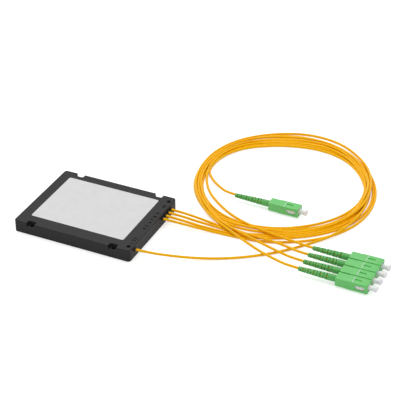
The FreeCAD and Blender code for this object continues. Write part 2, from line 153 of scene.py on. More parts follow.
def vary_colour(tree, shader, pattern, dark, light):
    """Let a pattern move the base colour between two close shades."""
    mix = add_node(tree, "ShaderNodeMix", {"data_type": "RGBA"}, {"Factor": pattern})
    mix.inputs[MIX_COLOUR_A].default_value = colour(dark)
    mix.inputs[MIX_COLOUR_B].default_value = colour(light)
    tree.links.new(mix.outputs[MIX_COLOUR_OUT], shader.inputs["Base Color"])


# %% [markdown]
# ## The case: black ABS from a spark-eroded mould
#
# Small ABS cases leave the mould with a fine matt grain that was eroded into the steel. It breaks
# up the highlights, so a black case reads as dark grey from above and nearly black from the side.
# The real grain is about 0.1 mm. It is drawn a little coarser, at 0.35 mm, to show at all.


# %% Case plastic
def case_plastic():
    material, tree, shader = new_material(
        "black_abs_eroded", {"Roughness": 0.55, "IOR": 1.52, "Specular IOR Level": 0.2},
    )
    grain = noise_at(tree, 0.35 * MM, 3.0)
    add_bump(tree, shader, grain.outputs["Fac"], 0.03 * MM, 0.6)
    # Both shades lean faintly warm and purplish: that tint is painted reflection of the orange
    # cables.
    vary_colour(tree, shader, grain.outputs["Fac"], "1A1819", "262425")
    return material


# %% [markdown]
# ## The sticker: matt white film
#
# A printed label is a thin plastic film. It is smoother than paper, almost white, and it shows
# very faint unevenness where the adhesive under it is thicker.


# %% Sticker film
def sticker_film():
    material, tree, shader = new_material(
        "white_label_film", {"Roughness": 0.42, "IOR": 1.5},
    )
    waves = noise_at(tree, 6 * MM, 1.0)
    add_bump(tree, shader, waves.outputs["Fac"], 0.05 * MM, 0.25)
    vary_colour(tree, shader, waves.outputs["Fac"], "D3D3D4", "DDDDDD")
    return material


# %% [markdown]
# ## The cable jacket: extruded orange PVC
#
# A 2 mm patch cable has a thin PVC jacket over yarn. The extruder leaves it smooth and slightly
# waxy, with a soft highlight along the top of each strand, and the pigment near the surface tints
# that highlight. The yarn inside gives the jacket a barely visible waviness, and the pigment is not
# quite even along its length.


# %% Cable jacket
def cable_jacket():
    material, tree, shader = new_material(
        "orange_pvc_jacket",
        {
            "Roughness": 0.36, "IOR": 1.53, "Specular IOR Level": 0.35,
            "Specular Tint": colour("FFCC58"),
        },
    )
    pigment = noise_at(tree, 5 * MM, 2.0)
    vary_colour(tree, shader, pigment.outputs["Fac"], "FDB800", "FFC204")
    yarn = noise_at(tree, 0.8 * MM, 1.0)
    add_bump(tree, shader, yarn.outputs["Fac"], 0.02 * MM, 0.15)
    return material


# %% [markdown]
# ## Connector plastics
#
# The grip is moulded in a satin green PBT, the boot in a softer and duller elastomer of the same
# colour, and the plug frame in white PBT. They share one recipe: a fine mould grain in the bump
# and a slight unevenness of the pigment. Only the numbers differ.


# %% Moulded plastics
def moulded(name, dark, light, roughness, grain_size, grain_height, soft=0.0, shine=0.5):
    """Coloured plastic with a fine mould grain and slightly uneven pigment."""
    material, tree, shader = new_material(
        name,
        {
            "Roughness": roughness, "IOR": 1.5, "Specular IOR Level": shine,
            "Subsurface Weight": soft, "Subsurface Scale": 0.6 * MM,
        },
    )
    pigment = noise_at(tree, 3 * MM, 2.0)
    vary_colour(tree, shader, pigment.outputs["Fac"], dark, light)
    grain = noise_at(tree, grain_size, 2.0)
    add_bump(tree, shader, grain.outputs["Fac"], grain_height, 0.5)
    return material


# %% [markdown]
# ## The dust cap: translucent polyethylene
#
# The cap is thin natural polyethylene. Light goes a little way into it and scatters, so it looks
# milky, and its shaded side is never dark. Subsurface scattering gives that look, with only a trace
# of transmission, which would turn it into glass.


# %% Dust cap plastic
def cap_plastic():
    material, tree, shader = new_material(
        "natural_polyethylene",
        {
            "Roughness": 0.4, "IOR": 1.45, "Transmission Weight": 0.05,
            "Subsurface Weight": 0.25, "Subsurface Scale": 1.0 * MM,
        },
    )
    cloud = noise_at(tree, 2.5 * MM, 2.0)
    vary_colour(tree, shader, cloud.outputs["Fac"], "F6F6F8", "FDFDFE")
    return material


# %% [markdown]
# ## Metals, ceramic and what is hidden in the case
#
# Polished zirconia is white and glossy. Springs, the module tube and the crimp sleeves are metal,
# where the drawing or pressing leaves fine scratches that blur the highlight: noise on the
# roughness does that. The glass blocks, bare fibres and potting lie inside the closed case.


# %% Metals, ceramic, glass and potting
def worked_metal(name, shade, roughness, scratch_size):
    """Metal whose highlight is broken up by fine scratches."""
    material, tree, shader = new_material(name, {"Metallic": 1.0, "Base Color": colour(shade)})
    scratches = noise_at(tree, scratch_size, 3.0)
    spread = add_node(
        tree, "ShaderNodeMapRange", {"To Min": roughness - 0.08, "To Max": roughness + 0.1},
        {"Value": scratches.outputs["Fac"]},
    )
    tree.links.new(spread.outputs["Result"], shader.inputs["Roughness"])
    return material


MATERIALS = {
    "case": case_plastic(),
    "label": sticker_film(),
    "cable": cable_jacket(),
    "grip": moulded("green_pbt_satin", "62C663", "70D071", 0.36, 0.3 * MM, 0.012 * MM, 0.04),
    "boot": moulded("green_elastomer", "50AA50", "5CB55C", 0.5, 0.25 * MM, 0.02 * MM, 0.04),
    "white_plastic": moulded("white_pbt", "E4E4E2", "EFEFEC", 0.4, 0.3 * MM, 0.01 * MM, 0.05),
    "ceramic": moulded("polished_zirconia", "EDEBE6", "F3F2EE", 0.12, 0.5 * MM, 0.002 * MM, 0.1),
    "paint": moulded("white_marking_ink", "C6D2C8", "D2DCD3", 0.55, 0.2 * MM, 0.01 * MM),
    "dark_paint": moulded(
        "black_marking_ink", "080808", "0D0C0D", 0.8, 0.2 * MM, 0.01 * MM, shine=0.03
    ),
    "dust_cap": cap_plastic(),
    "spring_steel": worked_metal("spring_steel_wire", "B4B6BA", 0.3, 0.2 * MM),
    "crimp_metal": worked_metal("crimped_aluminium", "C8CACC", 0.35, 0.3 * MM),
    "module_steel": worked_metal("drawn_stainless_tube", "BFC1C4", 0.28, 0.4 * MM),
    "glass_block": moulded("ground_silica_block", "C8D0D2", "D6DDDF", 0.3, 0.2 * MM, 0.01 * MM),
    "chip": moulded("polished_silica_chip", "8E9AA4", "A0ABB4", 0.15, 0.2 * MM, 0.004 * MM),
    "fibre": moulded("acrylate_coated_fibre", "DCD8C8", "EAE6D8", 0.3, 0.3 * MM, 0.004 * MM),
    "glue": moulded("cured_epoxy", "C9B98A", "D8CA9E", 0.25, 1.0 * MM, 0.05 * MM, 0.2),
}

node_slots = {part["node"]: part["material_slot"] for part in frame["record"]["subparts"]}
for node_name, cad_object in frame["nodes"].items():
    cad_object.data.materials.clear()
    cad_object.data.materials.append(MATERIALS[node_slots[node_name]])
print(len(MATERIALS), "materials on", len(node_slots), "CAD nodes")

# %% [markdown]
# ## Modelling helpers
#
# An operator works on whatever is selected, so each helper clears the selection first and then
# picks faces or edges by where they are. A Boolean modifier takes a second mesh away from a piece
# or adds it. Last comes a narrow bevel: nothing moulded has a perfectly sharp edge, and the thin
# bright line along each edge is most of what makes a small plastic piece look real.


# %% Selecting, cutting and finishing
# A face or an edge points along an axis when its direction's part on that axis is more than this.
ALONG = 0.9


def deselect_all():
    for thing in bpy.context.selected_objects:
        thing.select_set(False)


def make_active(obj):
    deselect_all()
    obj.select_set(True)
    bpy.context.view_layer.objects.active = obj


def block(name, low, high):
    """Box between two corners, with its place in its mesh."""
    deselect_all()
    low, high = Vector(low), Vector(high)
    bpy.ops.mesh.primitive_cube_add(size=1, location=(low + high) / 2, scale=high - low)
    obj = bpy.context.active_object
    obj.name = name
    bpy.ops.object.transform_apply(location=True, rotation=True, scale=True)
    return obj


def select_where(obj, kind, test):
    """In edit mode, select the faces or edges whose middle and direction pass a test."""
    bpy.ops.mesh.select_all(action="DESELECT")
    bpy.ops.mesh.select_mode(type=kind)
    mesh = bmesh.from_edit_mesh(obj.data)
    if kind == "FACE":
        for face in mesh.faces:
            face.select_set(test(face.calc_center_median(), face.normal))
    else:
        for edge in mesh.edges:
            start, end = (vertex.co for vertex in edge.verts)
            edge.select_set(test((start + end) / 2, (end - start).normalized()))
    mesh.select_flush_mode()
    bmesh.update_edit_mesh(obj.data)


def extrude(distance):
    """Extrude the selected faces along X."""
    bpy.ops.mesh.extrude_region_move(TRANSFORM_OT_translate={"value": (distance, 0, 0)})


def join(name, objects):
    """Several objects as one."""
    deselect_all()
    for obj in objects:
        obj.select_set(True)
    bpy.context.view_layer.objects.active = objects[0]
    bpy.ops.object.join()
    objects[0].name = name
    return objects[0]


def combine(obj, other, operation):
    """Apply a Boolean of obj with another closed mesh, and delete the other."""
    make_active(obj)
    modifier = obj.modifiers.new("combine", "BOOLEAN")
    modifier.operation = operation
    modifier.solver = "EXACT"
    modifier.object = other
    bpy.ops.object.modifier_apply(modifier="combine")
    bpy.data.objects.remove(other)


def cut_away(obj, cutter):
    combine(obj, cutter, "DIFFERENCE")


def soften_edges(obj, width, segments=2, angle=30):
    """Narrow bevel on the sharp edges, then smooth shading between them."""
    make_active(obj)
    modifier = obj.modifiers.new("soften", "BEVEL")
    modifier.width = width
    modifier.segments = segments
    modifier.limit_method = "ANGLE"
    modifier.angle_limit = math.radians(angle)
    bpy.ops.object.modifier_apply(modifier="soften")
    bpy.ops.object.shade_smooth_by_angle(angle=math.radians(angle))


def report(obj):
    """Print a piece's faces, its open edges (none, if it is closed) and its volume."""
    mesh = bmesh.new()
    mesh.from_mesh(obj.data)
    open_edges = sum(not edge.is_manifold for edge in mesh.edges)
    volume = mesh.calc_volume(signed=True) / MM ** 3
    print(f"{obj.name}: {len(mesh.faces)} faces, {open_edges} open edges, {volume:.2f} mm3")
    mesh.free()


def place_copy(template, name, place, body, slot, replaced=(), finish=None, turn=0):
    """Copy of a template with its own mesh at a connector's place, riding on a CAD body."""
    copy = template.copy()
    copy.data = template.data.copy()
    copy.name = name
    copy.data.transform(Matrix.Translation(place) @ Matrix.Rotation(math.radians(turn), 4, "X"))
    bpy.context.scene.collection.objects.link(copy)
    copy.data.materials.clear()
    copy.data.materials.append(MATERIALS[finish or slot])
    if body:
        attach(copy, body)
    if replaced:
        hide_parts(*replaced)
    return copy


# %% [markdown]
# ## The grip
#
# The grip is the sliding outer sleeve. It starts as a box, and its long edges are bevelled round.
# Insetting the back face and extruding it makes the slimmer rear section. A key, which lets the
# connector into the adapter only one way up, is added along the bottom. Then cutters open the
# cavity for the plug frame, the window on each side that shows the latch ears, and the shallow slot
# on top. A cutter reaches past the surface that it opens, because faces in one plane confuse a
# Boolean.

# %% Model the grip
GRIP_WIDTH = 9.0 * MM
GRIP_LENGTH = 25.0 * MM
REAR_LENGTH = 8.5 * MM
REAR_STEP = 0.27 * MM
EDGE_ROUND = 0.6 * MM
FRAME_WIDTH = 7.0 * MM
FRAME_HEIGHT = 5.4 * MM
FIT_GAP = 0.15 * MM
KEY_BACK = -14 * MM
KEY_FRONT = -1.2 * MM
KEY_HALF_WIDTH = 1.1 * MM
KEY_DEPTH = 0.9 * MM
KEY_ROOT = -3 * MM
WINDOW_BACK = -8.6 * MM
WINDOW_FRONT = -2.3 * MM
WINDOW_HALF_HEIGHT = 1.65 * MM
WINDOW_TAPER = 1.6 * MM
WINDOW_NARROWING = 0.5
SLOT_BACK = -11.2 * MM
SLOT_FRONT = -5.7 * MM
SLOT_HALF_WIDTH = 0.95 * MM
SLOT_DEPTH = 0.75 * MM
SPARE = 1 * MM
GRIP_SOFTNESS = 0.1 * MM


def grip_blank():
    """Solid grip with rounded long edges and a slimmer rear section."""
    blank = block(
        "grip_template",
        (REAR_LENGTH - GRIP_LENGTH, -GRIP_WIDTH / 2, -GRIP_HEIGHT / 2),
        (0, GRIP_WIDTH / 2, GRIP_HEIGHT / 2),
    )
    bpy.ops.object.mode_set(mode="EDIT")
    select_where(blank, "EDGE", lambda middle, along: abs(along.x) > ALONG)
    bpy.ops.mesh.bevel(offset=EDGE_ROUND, segments=5)
    select_where(blank, "FACE", lambda middle, normal: normal.x < -ALONG)
    bpy.ops.mesh.inset(thickness=REAR_STEP)
    extrude(-REAR_LENGTH)
    bpy.ops.object.mode_set(mode="OBJECT")
    return blank


def window_cutter():
    """Bar across the grip with the window's six-sided outline, narrow at the back."""
    reach = 6 * MM
    cutter = block(
        "window", (WINDOW_BACK, -reach, -WINDOW_HALF_HEIGHT),
        (WINDOW_FRONT, reach, WINDOW_HALF_HEIGHT),
    )
    bpy.ops.object.mode_set(mode="EDIT")
    select_where(cutter, "FACE", lambda middle, normal: normal.x < -ALONG)
    extrude(-WINDOW_TAPER)
    bpy.ops.transform.resize(value=(1, 1, WINDOW_NARROWING))
    bpy.ops.object.mode_set(mode="OBJECT")
    return cutter


def model_grip():
    grip = grip_blank()
    key = block(
        "key", (KEY_BACK, -KEY_HALF_WIDTH, -GRIP_HEIGHT / 2 - KEY_DEPTH),
        (KEY_FRONT, KEY_HALF_WIDTH, KEY_ROOT),
    )
    combine(grip, key, "UNION")
    half_width = FRAME_WIDTH / 2 + FIT_GAP
    half_height = FRAME_HEIGHT / 2 + FIT_GAP
    cut_away(grip, block(
        "cavity", (-GRIP_LENGTH - SPARE, -half_width, -half_height),
        (SPARE, half_width, half_height),
    ))
    cut_away(grip, window_cutter())
    cut_away(grip, block(
        "slot", (SLOT_BACK, -SLOT_HALF_WIDTH, GRIP_HEIGHT / 2 - SLOT_DEPTH),
        (SLOT_FRONT, SLOT_HALF_WIDTH, GRIP_HEIGHT / 2 + SPARE),
    ))
    soften_edges(grip, GRIP_SOFTNESS)
    report(grip)
    return grip


grip_template = model_grip()
for name, place in PLACES.items():
    place_copy(grip_template, f"{name}_grip_shell", place, f"{name}_grip", "grip", [f"{name}_grip"])

# %% [markdown]
# ## The painted line on the grip
#
# A thin white line is printed across the top of each grip. When a connector is pushed fully home,
# the line disappears into the adapter. It is a very thin slab that just breaks the surface, so it
# keeps a clean edge and takes its own ink material.

# %% Model the printed line
LINE_PLACE = -11.9 * MM
LINE_WIDTH = 0.5 * MM
INK_HEIGHT = 0.03 * MM


def model_line():
    line = block(
        "line_template",
        (LINE_PLACE - LINE_WIDTH / 2, EDGE_ROUND - GRIP_WIDTH / 2, GRIP_HEIGHT / 2 - INK_HEIGHT),
        (LINE_PLACE + LINE_WIDTH / 2, GRIP_WIDTH / 2 - EDGE_ROUND, GRIP_HEIGHT / 2 + INK_HEIGHT),
    )
    soften_edges(line, 0.01 * MM, 1)
    report(line)
    return line


line_template = model_line()
for name, place in PLACES.items():
    place_copy(
        line_template, f"{name}_grip_line", place, f"{name}_grip", "white_plastic", finish="paint"
    )

# %% [markdown]
# ## The strain-relief boot
#
# The boot stops the cable from kinking where it enters the connector. Its front is a plain collar
# with a pocket for the crimp sleeve. Behind that it tapers, and pairs of slots are cut in from two
# directions in turn, so the rings stay joined by two narrow webs and the whole boot can bend any
# way. The cable shows through the slots, which grow a little wider from the tip to the collar. A
# round bar is extruded along the taper, and one Boolean takes out all the slots. The boot is round,
# so it ends up at any angle about its cable: here the slots lie on the diagonals.

# %% Model the boot
BOOT_FRONT = -19.0 * MM
COLLAR_END = -31.0 * MM
BOOT_END = -54.9 * MM
BOOT_RADIUS = 2.65 * MM
BOOT_TIP_RADIUS = 1.72 * MM
POCKET_WALL = 0.5 * MM
POCKET_DEPTH = 7.6 * MM
CABLE_WAY = 1.12 * MM
WEB = 1.1 * MM
SIDE_SLOTS = [3.8, 7.9, 12.3, 17.5, 22.7]
TOP_SLOTS = [2.1, 5.6, 9.9, 15.0, 20.2]
TIP_SLOT_WIDTH = 0.65
SLOT_GROWTH = 0.015
BOOT_SOFTNESS = 0.09 * MM
BOOT_TURNS = {"input": 45, "output_1": -45, "output_2": 45, "output_3": 45, "output_4": -45}


def rod(name, radius, low, high, sides=40):
    """Round bar along X."""
    deselect_all()
    bpy.ops.mesh.primitive_cylinder_add(
        vertices=sides, radius=radius, depth=high - low, location=((low + high) / 2, 0, 0),
        rotation=(0, math.radians(90), 0),
    )
    obj = bpy.context.active_object
    obj.name = name
    bpy.ops.object.transform_apply(location=True, rotation=True, scale=True)
    return obj


def slot_cutters():
    """Blocks that cut each slot from both sides and leave a web of material between them.

    SIDE_SLOTS and TOP_SLOTS are distances in millimetres from the boot's tip.
    """
    cutters = []
    reach = 4 * MM
    for distances, across in ((SIDE_SLOTS, "y"), (TOP_SLOTS, "z")):
        for distance in distances:
            half = (TIP_SLOT_WIDTH + SLOT_GROWTH * distance) / 2 * MM
            station = BOOT_END + distance * MM
            for side in (-1, 1):
                near, far = sorted((side * WEB / 2, side * reach))
                if across == "y":
                    low, high = (station - half, near, -reach), (station + half, far, reach)
                else:
                    low, high = (station - half, -reach, near), (station + half, reach, far)
                cutters.append(block("slot", low, high))
    return join("slots", cutters)


def model_boot():
    boot = rod("boot_template", BOOT_RADIUS, COLLAR_END, BOOT_FRONT)
    bpy.ops.object.mode_set(mode="EDIT")
    select_where(boot, "FACE", lambda middle, normal: normal.x < -ALONG)
    extrude(BOOT_END - COLLAR_END)
    scale = BOOT_TIP_RADIUS / BOOT_RADIUS
    bpy.ops.transform.resize(value=(1, scale, scale))
    select_where(boot, "FACE", lambda middle, normal: normal.x > ALONG)
    bpy.ops.mesh.inset(thickness=POCKET_WALL)
    extrude(-POCKET_DEPTH)
    bpy.ops.object.mode_set(mode="OBJECT")
    cut_away(boot, rod("cable_way", CABLE_WAY, BOOT_END - SPARE, BOOT_FRONT + SPARE, 24))
    cut_away(boot, slot_cutters())
    soften_edges(boot, BOOT_SOFTNESS, angle=35)
    report(boot)
    return boot


boot_template = model_boot()
for name, place in PLACES.items():
    place_copy(
        boot_template, f"{name}_boot_sleeve", place, "root", "boot", [f"{name}_boot"],
        turn=BOOT_TURNS[name],
    )

# %% [markdown]
# ## The dust cap
#
# The cap is a thin tube that grips the ferrule, with a round knob in front to pull it by. One bar
# does it all: its front face is extruded and resized up to the knob and down to the knob's rounded
# rim, and its back face is inset and pushed in for the bore.

# %% Model the dust cap
CAP_RADIUS = 1.95 * MM
KNOB_RADIUS = 2.5 * MM
KNOB_LENGTH = 1.9 * MM
KNOB_RIM = 0.4 * MM
RIM_NARROWING = 0.86
CAP_BORE = 1.27 * MM
CAP_BACK = -3.0 * MM
CAP_SHOULDER = 4.0 * MM
BORE_DEPTH = 6.9 * MM
CAP_SOFTNESS = 0.12 * MM


def model_cap():
    cap = rod("cap_template", CAP_RADIUS, CAP_BACK, CAP_SHOULDER, 32)
    bpy.ops.object.mode_set(mode="EDIT")
    select_where(cap, "FACE", lambda middle, normal: normal.x > ALONG)
    extrude(0)
    growth = KNOB_RADIUS / CAP_RADIUS
    bpy.ops.transform.resize(value=(1, growth, growth))
    extrude(KNOB_LENGTH)
    extrude(KNOB_RIM)
    bpy.ops.transform.resize(value=(1, RIM_NARROWING, RIM_NARROWING))
    back = CAP_BACK / 2
    select_where(cap, "FACE", lambda middle, normal: normal.x < -ALONG and middle.x < back)
    bpy.ops.mesh.inset(thickness=CAP_RADIUS - CAP_BORE)
    extrude(BORE_DEPTH)
    bpy.ops.object.mode_set(mode="OBJECT")
    soften_edges(cap, CAP_SOFTNESS, 3)
    report(cap)
    return cap


cap_template = model_cap()
for name, place in PLACES.items():
    place_copy(
        cap_template, f"{name}_cap", place, f"{name}_dust_cap", "dust_cap", [f"{name}_dust_cap"]
    )

# %% [markdown]
# ## The spring behind the ferrule
#
# A small steel spring pushes the ferrule forward, so that it meets its partner in the adapter under
# a steady load. When the ferrule gives way, the real spring gets shorter. Each copy here is one
# fixed mesh, placed once and riding on no CAD body.

# %% Model the spring
SPRING_WIRE = 0.45 * MM
SPRING_RADIUS = 1.675 * MM
SPRING_TURNS = 3
STEPS_PER_TURN = 20
SPRING_BACK = -13.3 * MM
SPRING_FRONT = -10.1 * MM


def model_spring():
    """Wire section swept round the axis, with both ends filled."""
    deselect_all()
    bpy.ops.mesh.primitive_circle_add(
        vertices=10, radius=SPRING_WIRE / 2, rotation=(math.radians(90), 0, 0),
        location=(SPRING_BACK + SPRING_WIRE / 2, 0, SPRING_RADIUS),
    )
    spring = bpy.context.active_object
    spring.name = "spring_template"
    bpy.ops.object.transform_apply(location=True, rotation=True, scale=True)
    modifier = spring.modifiers.new("wind", "SCREW")
    modifier.axis = "X"
    modifier.angle = math.radians(360 * SPRING_TURNS)
    modifier.screw_offset = SPRING_FRONT - SPRING_BACK - SPRING_WIRE
    modifier.steps = modifier.render_steps = STEPS_PER_TURN * SPRING_TURNS
    bpy.ops.object.modifier_apply(modifier="wind")
    bpy.ops.object.mode_set(mode="EDIT")
    bpy.ops.mesh.select_all(action="SELECT")
    bpy.ops.mesh.fill_holes(sides=0)
    bpy.ops.mesh.normals_make_consistent(inside=False)
    bpy.ops.object.mode_set(mode="OBJECT")
    bpy.ops.object.shade_smooth_by_angle(angle=math.radians(50))
    report(spring)
    return spring


spring_template = model_spring()
for name, place in PLACES.items():
    coil = place_copy(
        spring_template, f"{name}_spring_coil", place, None, "spring_steel",
        [f"{name}_ferrule_spring"],
    )
    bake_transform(coil)
for template in (grip_template, line_template, boot_template, cap_template, spring_template):
    bpy.data.objects.remove(template)

# %% [markdown]
# ## Collars at the ports and marks on the cover
#
# Each cable comes out of the case through a short black collar, which keeps it from rubbing on the
# edge of its hole. On the cover beside the ports is a row of small marks: a dot at each end and
# port numerals between. They are thin slabs of dark ink that just break the surface, and dark on
# black they stand out only faintly.

# %% Model the collars and the marks
CASE_FACE = 50 * MM
CASE_TOP = 10 * MM
PORT_HEIGHT = 6.6
PORTS = {"output_1": 14.3, "output_2": 19.15, "output_3": 24.0, "output_4": 28.85, "input": -31.8}
COLLAR_RADIUS = 1.4 * MM
COLLAR_BORE = 1.06 * MM
COLLAR_ROOT = -0.2 * MM
COLLAR_REACH = 1.4 * MM
COLLAR_SOFTNESS = 0.15 * MM
MARK_LINE = 46.5 * MM
NUMERAL_SIZE = 3.9 * MM
NUMERAL_BOLD = 0.1 * MM
DOT_RADIUS = 1.6 * MM
NUMERAL_PLACES = [-29.8, -25.8, -22.9, -8.5, -4.3, 0.9, 5.2, 9.7, 14.7, 25.3]
DOT_PLACES = [33.3, -34.4]


def model_collar():
    collar = rod("collar_template", COLLAR_RADIUS, COLLAR_ROOT, COLLAR_REACH, 32)
    cut_away(collar, rod("collar_bore", COLLAR_BORE, -SPARE, COLLAR_REACH + SPARE, 32))
    soften_edges(collar, COLLAR_SOFTNESS, 3)
    report(collar)
    return collar


def model_numeral(text, place):
    """Numeral that reads from the port side, as a closed slab across the cover's surface."""
    deselect_all()
    bpy.ops.object.text_add(location=place, rotation=(0, 0, math.radians(90)))
    numeral = bpy.context.active_object
    numeral.data.body = text
    numeral.data.size = NUMERAL_SIZE
    numeral.data.extrude = INK_HEIGHT
    numeral.data.offset = NUMERAL_BOLD
    numeral.data.resolution_u = 4
    numeral.data.align_x = "CENTER"
    numeral.data.align_y = "CENTER"
    bpy.ops.object.convert(target="MESH")
    bpy.ops.object.transform_apply(location=True, rotation=True, scale=True)
    bpy.ops.object.mode_set(mode="EDIT")
    bpy.ops.mesh.select_all(action="SELECT")
    bpy.ops.mesh.remove_doubles(threshold=0.001 * MM)
    bpy.ops.mesh.normals_make_consistent(inside=False)
    bpy.ops.object.mode_set(mode="OBJECT")
    return numeral


def model_dot(place):
    deselect_all()
    bpy.ops.mesh.primitive_cylinder_add(
        vertices=24, radius=DOT_RADIUS, depth=2 * INK_HEIGHT, location=place
    )
    bpy.ops.object.transform_apply(location=True, rotation=True, scale=True)
    return bpy.context.active_object


collar_template = model_collar()
for name, port in PORTS.items():
    place_copy(
        collar_template, f"{name}_port_collar", Vector((CASE_FACE, port * MM, PORT_HEIGHT * MM)),
        "root", "case",
    )
bpy.data.objects.remove(collar_template)

marks = [
    model_numeral(str(i + 1), (MARK_LINE, y * MM, CASE_TOP))
    for i, y in enumerate(NUMERAL_PLACES)
]
marks += [model_dot((MARK_LINE, y * MM, CASE_TOP)) for y in DOT_PLACES]
port_marks = join("port_marks", marks)
port_marks.data.materials.clear()
port_marks.data.materials.append(MATERIALS["dark_paint"])
report(port_marks)
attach(port_marks, "root")

# %% [markdown]
# ## The coil: where each turn lies
#
# The cables were laid by hand in about two turns, so no turn is a circle. Each cable has one row of
# radii, in millimetres from the ring's middle and 20 degrees apart, and a smooth curve runs between
# them. The rows start where the cables come in from the case and end where they leave for their
# boots. In places the strands lie side by side, in others they bunch up two or three deep, and one
# of them strays outside the bundle and another inside it.

# %% Radii of the turns
RING_MIDDLE = Vector((117 * MM, 105 * MM, 0))
ROW_STEP = 20
ROW_START = {"output_1": -100, "output_2": -100, "output_3": -100, "output_4": -100, "input": -60}
RADII = {
    "output_1": [
        84.0, 79.6, 77.0, 76.0, 74.3, 72.4, 71.3, 71.6, 73.7, 78.4, 80.9, 81.8, 80.4, 77.3, 75.2,
        74.5, 73.3, 73.0, 70.8, 67.4, 64.6, 65.2, 64.7, 66.2, 66.9, 70.4, 76.4, 84.3, 86.8, 84.6,
        82.6, 77.9, 74.6, 73.5, 72.6, 75.3, 80.0, 85.0,
    ],
    "output_2": [
        82.5, 74.0, 71.2, 70.7, 71.2, 70.3, 69.3, 69.5, 71.6, 75.4, 76.3, 75.6, 77.2, 75.2, 73.1,
        72.4, 71.2, 70.9, 68.4, 65.0, 62.3, 64.0, 63.4, 64.2, 64.4, 68.4, 70.6, 76.9, 79.0, 79.8,
        78.8, 75.8, 72.5, 71.4, 70.4, 72.8, 79.0, 85.0,
    ],
    "output_3": [
        80.5, 71.8, 68.9, 68.5, 67.9, 66.9, 66.4, 67.4, 69.5, 72.3, 72.0, 71.4, 74.2, 73.1, 71.0,
        70.3, 69.1, 68.8, 66.0, 62.8, 60.0, 61.9, 61.3, 62.6, 65.4, 66.3, 68.5, 73.8, 74.4, 73.6,
        75.6, 73.7, 70.4, 69.3, 68.3, 71.0, 76.6, 82.0,
    ],
    "output_4": [
        78.0, 69.6, 66.7, 66.4, 65.8, 64.8, 64.4, 65.3, 67.4, 69.0, 67.2, 67.1, 71.1, 71.0, 68.9,
        68.3, 67.1, 66.0, 63.6, 60.6, 57.6, 57.0, 58.6, 60.6, 63.4, 64.2, 66.3, 70.6, 69.6, 69.2,
        72.6, 71.6, 68.3, 64.7, 60.6, 59.2, 62.4, 69.0,
    ],
    "input": [84.0, 76.9, 70.5, 68.0, 62.6, 63.2, 65.3, 65.8, 64.9, 65.0, 69.0, 69.1, 68.5, 66.0],
}


def smooth_between(before, start, end, after, share):
    """Point on a smooth curve from start to end that knows the values on both sides."""
    return 0.5 * (
        2 * start + (end - before) * share
        + (2 * before - 5 * start + 4 * end - after) * share ** 2
        + (3 * start - before - 3 * end + after) * share ** 3
    )


def ring_radius(name, angle):
    """Distance of a cable from the ring's middle at an angle in degrees along its turns."""
    row = RADII[name]
    step = (angle - ROW_START[name]) / ROW_STEP
    i = int(step)
    around = [row[min(max(i + k, 0), len(row) - 1)] for k in (-1, 0, 1, 2)]
    return smooth_between(*around, step - i) * MM


# %% [markdown]
# ## Laying heights
#
# The height of the turns isn't drawn by hand. They are laid one after another, degree by degree,
# and each rests on the floor or on whatever turn already lies within one diameter of it, as real
# cables do. The first turns of the outputs go down first, then the input cable crosses over them to
# the inner side, and the second turns come last. `TOUCHING` is the distance between the middles of
# two cables that touch, a little under one diameter because the jackets give.

# %% Lay the turns on each other
RING_SPAN = {
    "output_1": (-80, 600), "output_2": (-88, 608), "output_3": (-94, 616), "output_4": (-97, 628),
    "input": (-36, 164),
}
SECOND_TURN = 270
FLOOR_HEIGHT = 1.05 * MM
TOUCHING = 1.9 * MM
OUTPUTS = CONNECTORS[:4]
LAYING_ORDER = [(name, RING_SPAN[name][0], SECOND_TURN) for name in OUTPUTS]
LAYING_ORDER += [("input", *RING_SPAN["input"])]
LAYING_ORDER += [(name, SECOND_TURN, RING_SPAN[name][1]) for name in reversed(OUTPUTS)]
heights = {}


def laid_height(radius, angle, laid):
    """Height at which a cable rests on the turns that are already laid."""
    height = FLOOR_HEIGHT
    for other, start, end in laid:
        for turn in (-360, 0, 360):
            if start <= angle + turn <= end:
                gap = abs(radius - ring_radius(other, angle + turn))
                if gap < TOUCHING:
                    rise = math.sqrt(TOUCHING ** 2 - gap ** 2)
                    height = max(height, heights[other, angle + turn] + rise)
    return height


for index, (name, start, end) in enumerate(LAYING_ORDER):
    for angle in range(start, end + 1):
        radius = ring_radius(name, angle)
        heights[name, angle] = laid_height(radius, angle, LAYING_ORDER[:index])
print("highest turn:", round(max(heights.values()) / MM, 1), "mm")

# %% [markdown]
# ## The cables
#
# A cable is one NURBS curve with a round bevel. Its control points follow the route out of the port
# and into the ring, then the turns, then the lead that climbs over the lying turns and runs
# straight into its boot. A curve of this kind passes inside its control points, so each point of
# the ring is set a little further out to keep the wanted radius. The bevel is a polygon of few
# sides, which is thinner across its flats than across its corners, so its depth is 4 % more than
# the real radius.

# %% Routes between the case, the ring and the boots
CABLE_DIAMETER = 2.0 * MM
BEVEL_DEPTH = 1.04 * CABLE_DIAMETER / 2
TURN_STEP = 20
LOOK_AROUND = 5
PORT_RUN = (41, 59)
ROUTES_IN = {
    "output_1": [(84, 21.4, 1.3), (109, 22.9, 1.05)],
    "output_2": [(81, 23.8, 1.5), (100, 25.3, 1.05)],
    "output_3": [(77, 28.2, 2.0), (94, 29.4, 1.05)],
    "output_4": [(73, 32.3, 2.6), (89, 31.7, 1.2)],
    "input": [
        (85, -20.0, 2.2), (108, -9.4, 1.05), (129, 3.3, 1.05), (150, 21.6, 1.05),
        (170.5, 48.0, 1.05),
    ],
}
ROUTES_OUT = {
    "output_1": [(109, 21.5, 4.3), (131, 11.0, 3.5), (150, 4.0, 3.9)],
    "output_2": [(123, 22.0, 4.2), (146, 15.4, 3.6)],
    "output_3": [(134, 25.9, 4.2), (152, 23.6, 3.8)],
    "output_4": [(148, 31.8, 4.5), (156.5, 31.5, 4.4)],
    "input": [(48.6, 102.5, 1.1), (57.5, 90.0, 1.8), (69.0, 79.6, 3.2)],
}
BOOT_MOUTH = -60.9 * MM
CABLE_END = -26.5 * MM


